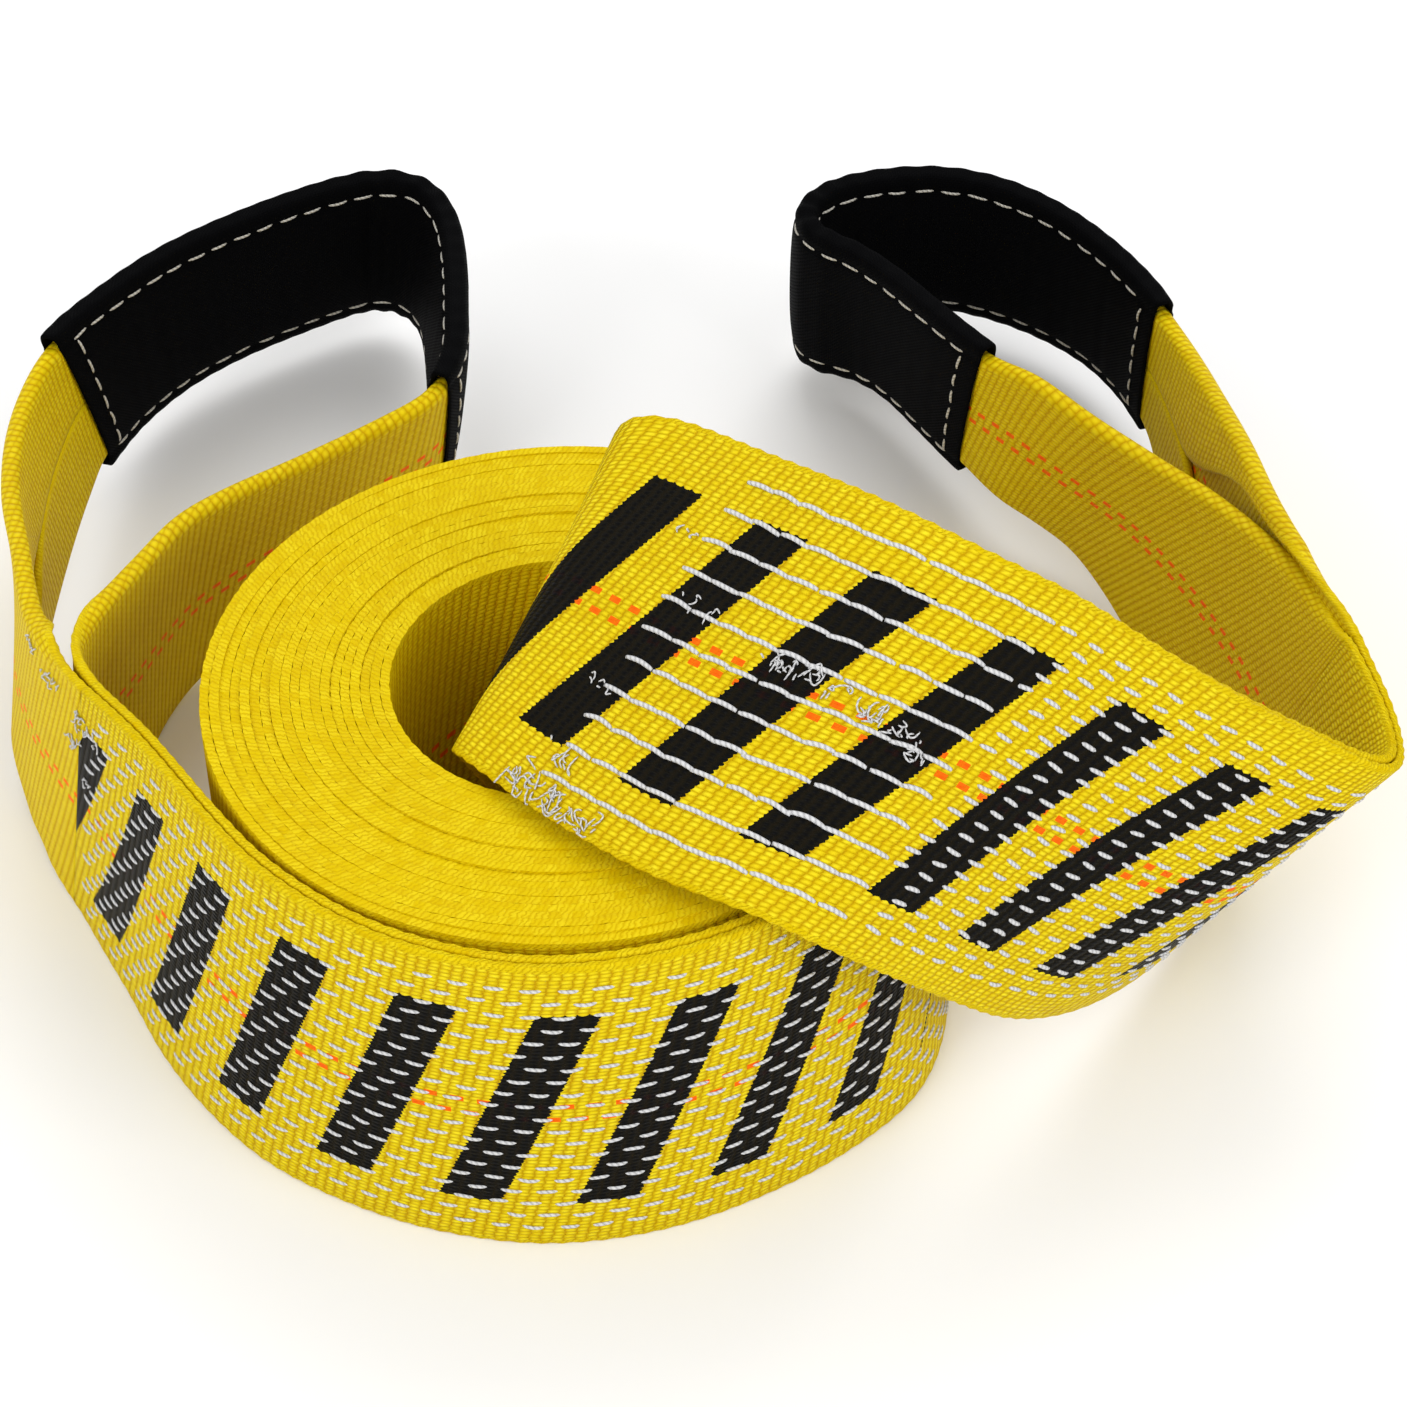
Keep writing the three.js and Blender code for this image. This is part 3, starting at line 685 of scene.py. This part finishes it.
def webbingFinish(name, inked=(), highlightShare=1.0, relief=0.0003):
    # Slanting ribs across the width, broken into beads of yarn, with painted shade in their grooves and
    # a painted highlight on each bead; tracers at mid-width; slanting bars of ink between the two distances of
    # inked.
    # The UVs run across the printed face, then on from width + 1 across the back.
    s = Shader(name)
    u, p = s.onCloth()
    back = p > webbing["width"] + 0.5
    v = p - webbing["width"] / 2
    mid = v - back * (webbing["width"] + 1)
    streak = s.noise(s.spot(u * 0.05, p * 0.7), 3.0)
    grain = s.noise(s.spot(u * 0.8, p * 2.2), 2.0)
    drift = s.noise(s.spot(u * 0.12, p * 0.12, 3.0), 2.0)
    yarn = p / webbing["yarn"]
    yarnCrown = yarn.crown()
    odd = (yarn.floor() * 0.5).fraction() * 2
    rib = (u + v * cloth["slant"]) / webbing["rib"] + odd * 0.1 + grain * 0.3
    ribCrown = rib.crown()
    # each bead of the weave gets a painted highlight of a slightly different strength
    bead = s.node("TexWhiteNoise", {"noise_dimensions": "2D"}, {"Vector": s.spot(rib.floor(), yarn.floor())})
    shine = ribCrown * yarnCrown * (0.35 + 0.75 * bead) * highlightShare
    crown = ribCrown * (0.6 + 0.4 * yarnCrown)
    # selvedges and edges: fine slanting yarn instead of ribs, with their own painted shade and painted
    # highlight
    edge = mid.size() > webbing["width"] / 2 - webbing["printedEdge"]
    fine = ((u + p * 0.9) / 1.1 + grain * 1.4).crown()
    crown = crown + edge * (0.3 + 0.35 * fine + 0.4 * grain - crown)
    shine = shine + edge * (fine * bead * 0.5 - shine)
    # painted shade: the yellow is darker in the grooves between ribs and yarns, where the crown is low, and
    # where random streaks of tone fall
    colour = s.mix(crown * 0.75 + streak * 0.5 - 0.12 + drift * 0.2, cloth["grooveShadeAndTone"], cloth["bright"])
    # painted highlight: a lighter yellow on the crown of each bead
    colour = s.mix(shine * 0.8, colour, cloth["beadHighlight"])
    # two tracer yarns at mid-width show as dashes, half a beat apart
    line = (mid.size() - cloth["tracerPlace"]).size() < cloth["tracerWidth"] / 2
    beat = (u / cloth["tracerBeat"] + (mid > 0) * 0.5).fraction() < 0.5
    colour = s.mix(line * beat * (0.8 + 0.2 * ribCrown), colour, cloth["tracer"])
    roughness = 0.6 - 0.12 * crown
    if inked:
        ragged = u + (yarnCrown - 0.5) * 0.4 + (grain - 0.5) * 0.8
        lean = (inked[1] - 0.5 - ragged - v * cloth["barLean"]) / cloth["barPitch"]
        bar = lean.fraction() < cloth["barWidth"] / cloth["barPitch"]
        high = (v.size() + (ribCrown - 0.5) * 0.4 + (grain - 0.5) * 0.6) < cloth["barHeight"] / 2
        inside = (ragged + v * cloth["barLean"]).within(inked[0], inked[1])
        ink = bar * high * inside * (1 - back)
        colour = s.mix(ink * (0.985 + 0.015 * crown), colour, cloth["ink"])
        roughness = roughness - ink * 0.12
    height = crown + shine * 0.3 + grain * 0.15
    return s.surface(colour, roughness, height, relief, Specular_IOR_Level=0.03)


def threadFinish(name, light, dark):
    # Twisted yarn: slanting strands with fine fibres.
    s = Shader(name)
    u, v = s.onCloth()
    twist = (u / 1.1 + v).crown()
    fibre = s.noise(s.spot(u * 1.4, v * 9.0), 2.0)
    colour = s.mix(twist * 0.6 + fibre * 0.4, dark, light)
    return s.surface(colour, 0.75 - 0.1 * twist, twist + fibre * 0.3, 0.00018, Specular_IOR_Level=0.2)


def sleeveFinish(name):
    # Near-black cloth with a little lint.
    s = Shader(name)
    u, v = s.onCloth()
    # plain weave: warp and weft take turns on top, square by square
    warpBeat, weftBeat = u / cloth["sleeveYarn"], v / cloth["sleeveYarn"]
    warp, weft = warpBeat.crown(), weftBeat.crown()
    odd = (warpBeat.floor() + weftBeat.floor()) * 0.5
    over = odd.fraction() > 0.25
    weave = over * warp + (1 - over) * weft
    lint = s.noise(s.spot(u, v), 4.0, 0.35)
    colour = s.mix(weave * 0.5 + lint * 0.5, cloth["sleeveDark"], cloth["sleeveLight"])
    return s.surface(colour, 0.82 - 0.1 * weave, weave + lint * 0.4, 0.0001, Specular_IOR_Level=0.03)


# the painted highlight on the beads is weaker on the roll and the eyes
rollFinish = webbingFinish("webbing", highlightShare=0.5, relief=0.0002)
eyeFinish = webbingFinish("webbingEye", highlightShare=0.6, relief=0.0002)
outerFinish = webbingFinish("webbingOuterPrinted", cloth["outerPrint"])
innerFinish = webbingFinish("webbingInnerPrinted", cloth["innerPrint"])
threadWhite = threadFinish("threadWhite", cloth["threadLight"], cloth["threadDark"])
threadSeam = threadFinish("threadSeam", cloth["seamLight"], cloth["seamDark"])
sleeveBlack = sleeveFinish("sleeveCloth")


# The roll.

roll = {
    "outerEnd": 64.0,
    "turns": 18 + 196 / 360,
    "outerRadius": 66.7,
    "innerRadius": 32.45,
    "step": 1.2667,
    "unevenness": 0.14,
    "lift": 0.25,
    "ply": 1.86,
    "dash": 3.3,
}


def spiralStrip():
    # Radius falls evenly with the angle, from the outer end in to the bore.
    dense = np.linspace(0, roll["turns"] * 2 * np.pi, 20001)
    radius = roll["outerRadius"] + (roll["innerRadius"] - roll["outerRadius"]) * dense / dense[-1]
    run = np.concatenate([[0], np.cumsum((radius[1:] + radius[:-1]) / 2 * np.diff(dense))])
    d = np.arange(0, run[-1], roll["step"])
    turn = np.interp(d, run, dense)
    radius = np.interp(d, run, radius)
    angle = math.radians(roll["outerEnd"]) + turn
    x, y = rollAxis[0] + radius * np.cos(angle), rollAxis[1] + radius * np.sin(angle)
    # the turns don't stand quite level: slow waves along the winding, none at its two ends
    beats, phases = (0.37, 0.9, 1.73, 2.31, 3.1), rng.uniform(0, 6.3, 5)
    waves = sum(np.sin(turn * beat + phase) / (1 + 0.2 * beat) for beat, phase in zip(beats, phases))
    high = roll["unevenness"] * waves * smooth(turn, 0, 4) * smooth(dense[-1] - turn, 0, 4)
    bottom = np.column_stack([x, y, np.full(len(d), roll["lift"])])
    top = np.column_stack([x, y, webbing["width"] + high - 0.1])
    path = np.column_stack([bottom, top, np.full(len(d), webbing["ply"]), np.zeros(len(d))])[::-1]
    return strand(path, d)


def rollShell(build, strip):
    # As a ply, but with few places across: of the inner turns only the edges are seen.
    full = webbing["width"] / 2
    places = np.array([-1, -0.998, -0.994, -0.987, 0, 0.987, 0.994, 0.998, 1])
    half = strip["half"][:, None]
    d = strip["distance"][:, None]
    beat = np.sin(np.pi * d / webbing["scallop"]) ** 2
    gaps = np.clip(np.sin(2 * np.pi * d / roll["dash"] + 1.7 * np.sin(d / 23)) * 1.5, 0, 1)
    gaps = gaps * (0.6 + 0.4 * np.sin(d / 37))
    v = places * full
    inset = np.clip((full - np.abs(v)) / 0.5, 0, 1)
    thick = roll["ply"] / 2 * (1 - 0.2 * (1 - inset) * gaps)
    side = places * half + np.sign(places) * (np.abs(places) > 0.95) * 0.07 * (beat - 1)
    grid = []
    for sign in (1, -1):
        face = laidOut(strip, side, sign * thick)
        grid.append(face if sign > 0 else face[:, ::-1])
    around = np.concatenate([v + full, 2 * full + 1 + (full - v[::-1]), [4 * full + 2]])
    build.shell(np.concatenate(grid, 1), strip["distance"], around[None, :])


def sheetPiece(piece, node, length):
    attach(piece, "root")
    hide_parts(node)
    length * 0.001


spiral = spiralStrip()
build = Build()
rollShell(build, spiral)
webbingRoll = build.done("webbingRoll", rollFinish)
webbingRoll.data.set_sharp_from_angle(angle=math.radians(50))
sheetPiece(webbingRoll, "webbing_roll", spiral["distance"][-1])
print("roll wound:", round(float(spiral["distance"][-1])), "mm")


# Runs and eyes.

def cutsOf(strip):
    # Where the eye begins and ends along the strip.
    return [int(np.searchsorted(strip["part"], part)) for part in (0.5, 1.5)]


def runPiece(strip, name, node, finish):
    # The run's two plies, before and after the eye.
    first, last = cutsOf(strip)
    d = strip["distance"]
    build = Build()
    for keep in (slice(0, first + 1), slice(last - 1, None)):
        plyShell(build, stretch(strip, keep))
    made = build.done(name, finish)
    sheetPiece(made, node, d[first] + d[-1] - d[last])


def eyePiece(strip, fold, name, node):
    first, last = cutsOf(strip)
    d = strip["distance"]
    build = Build()
    plyShell(build, stretch(strip, slice(first, last)), fold[first:last], True)
    made = build.done(name, eyeFinish)
    sheetPiece(made, node, d[last] - d[first])


runPiece(leftStrip, "webbingOuterRun", "webbing_outer_run", outerFinish)
eyePiece(leftStrip, leftFold, "webbingLeftEye", "webbing_left_eye")
runPiece(rightStrip, "webbingInnerRun", "webbing_inner_run", innerFinish)
eyePiece(rightStrip, rightFold, "webbingRightEye", "webbing_right_eye")
print("runs and eyes made")


# Sleeves.

sleeve = {
    "width": 45.8,
    "thickness": 7.2,
    "wall": 1.3,
    "seamInset": 3.9,
    "rim": 0.5,
    "wrinkle": 0.22,
    "bendWrinkle": 7.0,
    "pucker": 0.2,
    "around": 72,
    "waves": ((4.3, 0.6), (6.1, 1.0), (8.7, 1.0), (12.5, 0.8)),
    "stitch": {"pitch": 6.2, "dash": 4.9, "thick": 0.75, "ends": 0.35, "rise": 0.42, "sink": 0.2},
}


def sleevePiece(name, node, rows, fromRow, toRow):
    # A flat tube with rounded edges: across by powers of the cosine, thickness by powers of the sine,
    # drawn in at the seams, with wrinkles across it that grow where the eye bends.
    path = course(rows, fromRow, toRow)
    strip = strand(*evenly(np.column_stack([path, np.zeros(len(path))]), 1.0))
    n, around = len(strip["distance"]), sleeve["around"]
    angle = (np.arange(around) + 0.5) / around * 2 * np.pi
    width, thick = sleeve["width"] / 2, sleeve["thickness"] / 2
    side = width * np.sign(np.cos(angle)) * np.abs(np.cos(angle)) ** 0.9
    level = np.sign(np.sin(angle)) * np.abs(np.sin(angle)) ** 0.42
    seamLine = width - sleeve["seamInset"]
    dip = 1 - 0.16 * np.exp(-((np.abs(side) - seamLine) / 1.0) ** 2)
    bead = 1 + 0.05 * np.exp(-((np.abs(side) - width + 2.6) / 1.6) ** 2)
    d = strip["distance"][:, None]
    bend = np.linalg.norm(np.gradient(strip["along"], axis=0), axis=1)
    bend = softened(bend[:, None], 5)
    inner = level < 0
    folds = np.zeros((n, around))
    for wave, share in sleeve["waves"]:
        lean, phase, fade = rng.normal(0, 0.02), rng.uniform(0, 6.3, 2), rng.uniform(0.02, 0.05)
        start = np.where(inner, phase[0], phase[1])
        folds += share * np.sin(2 * np.pi * d / wave + side * lean + start) * np.cos(side * fade)
    reach = np.clip(1 - (np.abs(side) / width) ** 6, 0, 1)
    reach = reach * (1 - 0.75 * np.exp(-((np.abs(side) - seamLine) / 1.4) ** 2))
    size = sleeve["wrinkle"] * 0.35 + np.where(inner, 1.0, 0.35) * sleeve["bendWrinkle"] * bend
    relief = np.minimum(size, 0.75) * folds * 0.33 * reach
    # the thread gathers both edges a little at every stitch
    pull = np.sin(2 * np.pi * d / sleeve["stitch"]["pitch"] + 0.8 * np.sin(d / 11))
    pull = pull * np.minimum(0.3 + 22 * bend, 2.4)
    pucker = sleeve["pucker"] * pull * np.exp(-((np.abs(side) - width) / 2.5) ** 2)
    outerLevel = level * thick * dip * bead + np.sign(level) * relief
    outerSide = side + np.sign(side) * pucker
    innerLevel = level * (thick - sleeve["wall"])
    innerSide = side * (width - sleeve["wall"]) / width
    flare = 1 - 0.12 * np.exp(-np.minimum(d, d[-1] - d) / 2.5)
    outerLevel = outerLevel * flare

    skin = laidOut(strip, outerSide, outerLevel)
    lining = laidOut(strip, np.broadcast_to(innerSide, (n, around)), np.broadcast_to(innerLevel, (n, around)))
    rimStart = (skin[0] + lining[0]) / 2 - strip["along"][0] * sleeve["rim"]
    rimEnd = (skin[-1] + lining[-1]) / 2 + strip["along"][-1] * sleeve["rim"]
    grid = np.concatenate([rimStart[None], skin, rimEnd[None], lining[::-1], rimStart[None]])
    rimRows = len(grid) - 1
    points = grid[:-1].reshape(-1, 3)
    faces = tubeFaces(len(grid), around) % (rimRows * around)
    # the lining's UVs lie past those of the skin
    length = d[:, 0]
    step = np.concatenate([[0], length + 0.7, [length[-1] + 1.4], length[::-1] + 300.7, [601.4]])
    girth = np.cumsum(np.hypot(np.diff(side), np.diff(level * thick)))
    perimeter = np.concatenate([[0], girth, [2 * sleeve["width"] + 8]])
    corners = gridCorners(step, perimeter[None, :])
    if not pointingOut(points, faces):
        faces, corners = faces[:, ::-1], corners[:, ::-1]
    made = newObject(name, points, faces.tolist(), corners, sleeveBlack)
    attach(made, "root")
    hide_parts(node)

    # two seams along each face and one across each end
    build = Build()
    stitch = sleeve["stitch"]
    for face in (1, -1):
        for edge in (1, -1):
            column = int(np.argmin(np.abs(side - edge * seamLine) + 100 * (np.sign(level) != face)))
            line = skin[:, column]
            outward = face * strip["outside"]
            seam(build, line[4:-4], outward[4:-4], stitch, first=rng.uniform(0, 0.8))
        for row in (5, n - 6):
            columns = np.where((np.sign(level) == face) & (np.abs(side) < seamLine))[0]
            columns = columns[np.argsort(side[columns])]
            line = skin[row, columns]
            outward = np.repeat(face * strip["outside"][row][None], len(line), 0)
            seam(build, line, outward, stitch, first=rng.uniform(0.3, 1.0))
    made = build.done(name + "Stitches", threadSeam)
    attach(made, "root")


sleevePiece("sleeveLeft", "sleeve_left", leftEyeRows, 8, 19.8)
sleevePiece("sleeveRight", "sleeve_right", rightEyeRows, 8, 21.7)
print("sleeves sewn")


# Lock stitches of the two splices.

splice = {
    "stitch": {"pitch": 6.4, "dash": 4.2, "thick": 0.86, "ends": 0.12, "rise": 0.3, "sink": 0.14},
    "longStitch": {"pitch": 6.4, "dash": 6.6, "thick": 0.9, "ends": 0.75, "rise": 0.25, "sink": 0.0},
    "tuftThick": 0.36,
    "outer": {
        "rows": 20, "edge": 5.5, "from": 88.0, "tail": 2.0,
        "tufts": (  # along, across, count, reach
            (337, 30, 14, 6), (346, 34, 7, 7), (322, 28, 12, 6),
            (324, 20, 10, 7), (316, 26, 8, 6), (319, 10, 5, 5),
        ),
    },
    "inner": {
        "rows": 21, "edge": 6.5, "start": 802.0, "doubled": 735.0, "tail": 4.0,
        "tufts": (
            (800, -35, 20, 8), (794, -34, 16, 8), (786, -36, 14, 7), (797, -28, 7, 6),
            (771, 4.5, 16, 5), (766, 4.8, 12, 5), (760, 4, 8, 4), (753, 3, 14, 5),
            (747, 1.5, 12, 5), (743, -0.5, 10, 4), (792, 8, 6, 6), (802, 19, 5, 6), (800, -13, 5, 5),
        ),
    },
}


def faceRow(strip, v, u0, u1):
    # The printed face's line at v across, from u0 to u1 along.
    u = np.arange(u0, u1, 1.0)
    return onStrip(strip, u, np.full(len(u), v), np.zeros(len(u)))


def tuft(build, strip, u, v, count, reach):
    # Loose ends of thread: short curls over the face, each a sum of two slow waves.
    thick = splice["tuftThick"]
    t = np.linspace(0, 1, 12)[None]
    heading = rng.uniform(0, 2 * np.pi, (count, 1))
    length = reach * rng.uniform(0.12, 0.42, (count, 1))
    curl, turn = rng.normal(0, 0.4, (2, count, 1))
    du = length * (t * np.cos(heading) + curl * np.sin(3 * t + turn))
    dv = length * (t * np.sin(heading) + turn * np.sin(4 * t + curl))
    lift = thick * 0.6 + rng.uniform(0.05, 0.5, (count, 1)) * np.sin(np.pi * t) ** 2
    startU = u + rng.normal(0, reach * 0.3, (count, 1))
    startV = v + rng.normal(0, reach * 0.2, (count, 1))
    across = np.clip(startV + dv, -webbing["width"] / 2, webbing["width"] / 2)
    place, outside = onStrip(strip, (startU + du).ravel(), across.ravel(), lift.ravel())
    threads(build, place.reshape(count, 12, 3), outside.reshape(count, 12, 3), thick, 0.5, 0.9)


def stitchPiece(build, name):
    made = build.done(name, threadWhite)
    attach(made, "root")


def stitchRows(edge, rows):
    # Places across the face, evenly from one edge to the other.
    return np.linspace(edge, webbing["width"] - edge, rows) - webbing["width"] / 2


# every second row is half a pitch on
halfPitch = splice["stitch"]["pitch"] / 2

sewn = splice["outer"]
startOfEye = leftStrip["distance"][cutsOf(leftStrip)[0]] - sewn["tail"]
build = Build()
for k, v in enumerate(stitchRows(sewn["edge"], sewn["rows"])):
    line, up = faceRow(leftStrip, v, sewn["from"], startOfEye)
    seam(build, line, up, splice["stitch"], first=halfPitch * (k % 2) + rng.uniform(0, 0.6))
for place in sewn["tufts"]:
    tuft(build, leftStrip, *place)
stitchPiece(build, "outerSpliceStitches")

sewn = splice["inner"]
endOfEye = rightStrip["distance"][cutsOf(rightStrip)[1]] + sewn["tail"]
build = Build()
for k, v in enumerate(stitchRows(sewn["edge"], sewn["rows"])):
    if k % 2 == 0:
        # past the doubled part only every second row goes on, in long stitches
        line, up = faceRow(rightStrip, v, sewn["doubled"], sewn["start"] + rng.normal(0, 1.0))
        seam(build, line, up, splice["longStitch"], first=rng.uniform(0, 0.6), drift=0.25)
    line, up = faceRow(rightStrip, v, endOfEye, sewn["doubled"])
    seam(build, line, up, splice["stitch"], first=halfPitch * (k % 2) + rng.uniform(0, 0.6))
for place in sewn["tufts"]:
    tuft(build, rightStrip, *place)
stitchPiece(build, "innerSpliceStitches")
print("splices sewn")


# Floor and lamps.

stage = {
    "floor": (0.9, 0.9, 0.9, 1),
    "sky": 0.82,
    "aim": (0, 0, 0.04),
    "lamps": [  # place, size, power
        ((-0.7, -0.9, 0.8), 0.6, 5.5),
        ((0.85, -0.7, 0.7), 0.6, 4.5),
        ((0.1, 0.7, 1.1), 0.8, 5),
    ],
}

s = Shader("floor")
paint = {"Base Color": stage["floor"], "Roughness": 0.9, "Specular IOR Level": 0.1}
skin = s.node("BsdfPrincipled", {}, paint)
s.node("OutputMaterial", {}, {"Surface": skin})
floorMesh = bpy.data.meshes.new("floor")
floorMesh.from_pydata([(-6, -6, 0), (6, -6, 0), (6, 6, 0), (-6, 6, 0)], [], [(0, 1, 2, 3)])
floorMesh.materials.append(s.material)
floor = bpy.data.objects.new("floor", floorMesh)
bpy.context.scene.collection.objects.link(floor)

world = bpy.data.worlds.new("studio")
world.use_nodes = True
sky = world.node_tree.nodes["Background"].inputs
sky[0].default_value = (1, 1, 1, 1)
sky[1].default_value = stage["sky"]
bpy.context.scene.world = world

for k, (place, size, power) in enumerate(stage["lamps"]):
    lampData = bpy.data.lights.new(f"lamp{k}", "AREA")
    lampData.size = size
    lampData.energy = power
    lamp = bpy.data.objects.new(f"lamp{k}", lampData)
    bpy.context.scene.collection.objects.link(lamp)
    lamp.location = place
    aim = np.array(stage["aim"]) - np.array(place)
    tilt = math.atan2(math.hypot(aim[0], aim[1]), -aim[2])
    lamp.rotation_euler = (tilt, 0, math.atan2(aim[1], aim[0]) - math.pi / 2)

bpy.context.view_layer.update()
print("done")
